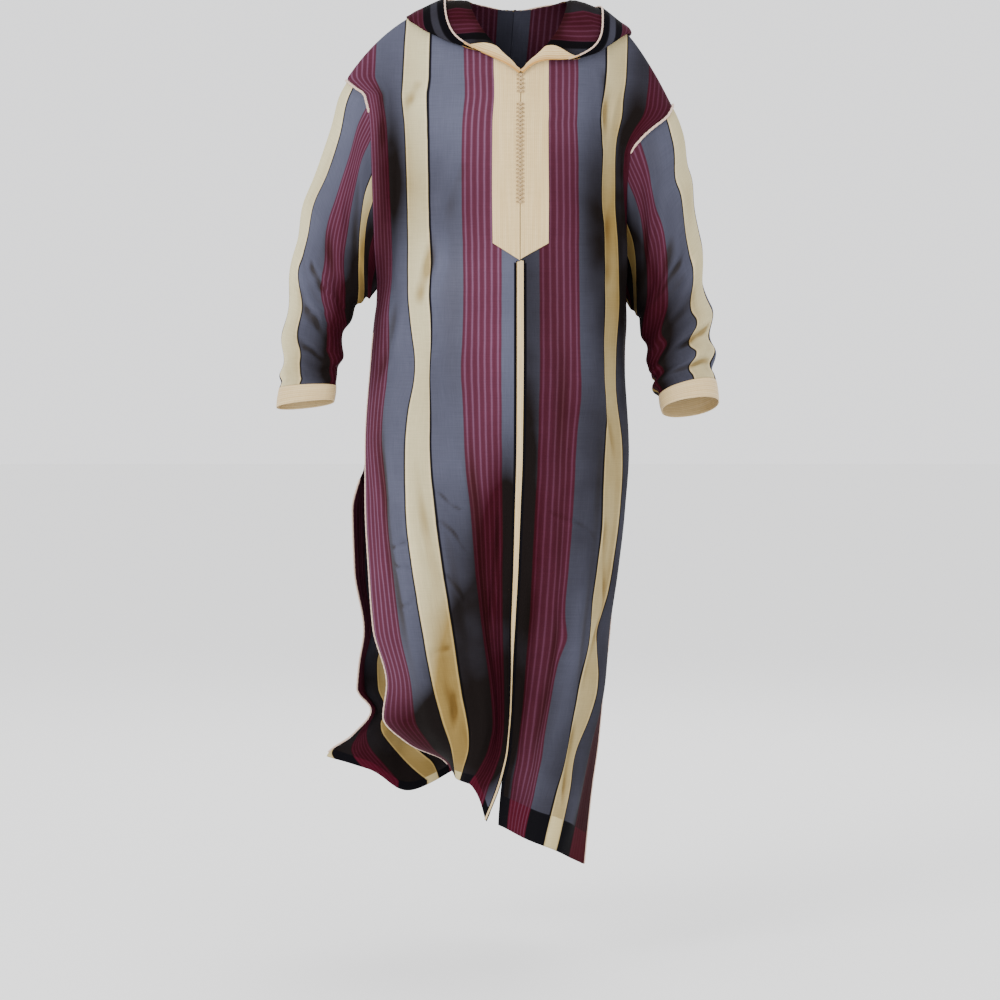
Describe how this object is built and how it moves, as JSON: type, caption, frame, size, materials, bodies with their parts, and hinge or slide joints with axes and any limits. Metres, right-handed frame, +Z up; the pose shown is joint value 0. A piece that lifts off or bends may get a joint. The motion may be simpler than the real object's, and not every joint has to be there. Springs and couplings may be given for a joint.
{
  "type": "hooded djellaba robe",
  "caption": "Ankle-length striped robe in worn form, with long sleeves, pointed-end placket, side slits and a lowered hood rolled round the neck as a collar.",
  "frame": {"origin": "on the middle of the shoulders, between the two neck sides, where the wearer carries the robe", "axes": "+Z up along the robe from hem to neck, -Y the wearer's front, +X the wearer's left side"},
  "size_m": [0.699, 0.3724, 1.389],
  "materials": {
    "striped_cloth": "thin woven cloth striped grey, dark red and cream, dull",
    "cream_band": "gold and cream woven braid, soft sheen",
    "placket_cloth": "cream braid with fine upright lines, soft sheen",
    "edge_cord": "pale pink-cream twisted edging cord",
    "button_thread": "tightly wound rust and cream thread"
  },
  "bodies": {
    "root": {"armhole_piping_left": "edge_cord", "armhole_piping_right": "edge_cord", "back_left": "striped_cloth", "back_right": "striped_cloth", "button_01": "button_thread", "button_02": "button_thread", "button_03": "button_thread", "button_04": "button_thread", "button_05": "button_thread", "button_06": "button_thread", "button_07": "button_thread", "button_08": "button_thread", "button_09": "button_thread", "button_10": "button_thread", "button_11": "button_thread", "button_12": "button_thread", "button_13": "button_thread", "button_14": "button_thread", "button_15": "button_thread", "button_16": "button_thread", "button_17": "button_thread", "button_18": "button_thread", "button_19": "button_thread", "button_20": "button_thread", "button_21": "button_thread", "button_22": "button_thread", "button_23": "button_thread", "button_24": "button_thread", "button_25": "button_thread", "button_26": "button_thread", "button_27": "button_thread", "button_28": "button_thread", "button_29": "button_thread", "button_30": "button_thread", "centre_braid": "cream_band", "cuff_left": "cream_band", "cuff_right": "cream_band", "front_left": "striped_cloth", "front_right": "striped_cloth", "hood_facing_left": "cream_band", "hood_facing_right": "cream_band", "hood_left": "striped_cloth", "hood_piping_left": "edge_cord", "hood_piping_right": "edge_cord", "hood_right": "striped_cloth", "placket_left": "placket_cloth", "placket_right": "placket_cloth", "side_piping_back_left": "edge_cord", "side_piping_back_right": "edge_cord", "side_piping_front_left": "edge_cord", "side_piping_front_right": "edge_cord", "sleeve_left": "striped_cloth", "sleeve_right": "striped_cloth"}
  },
  "joints": []
}
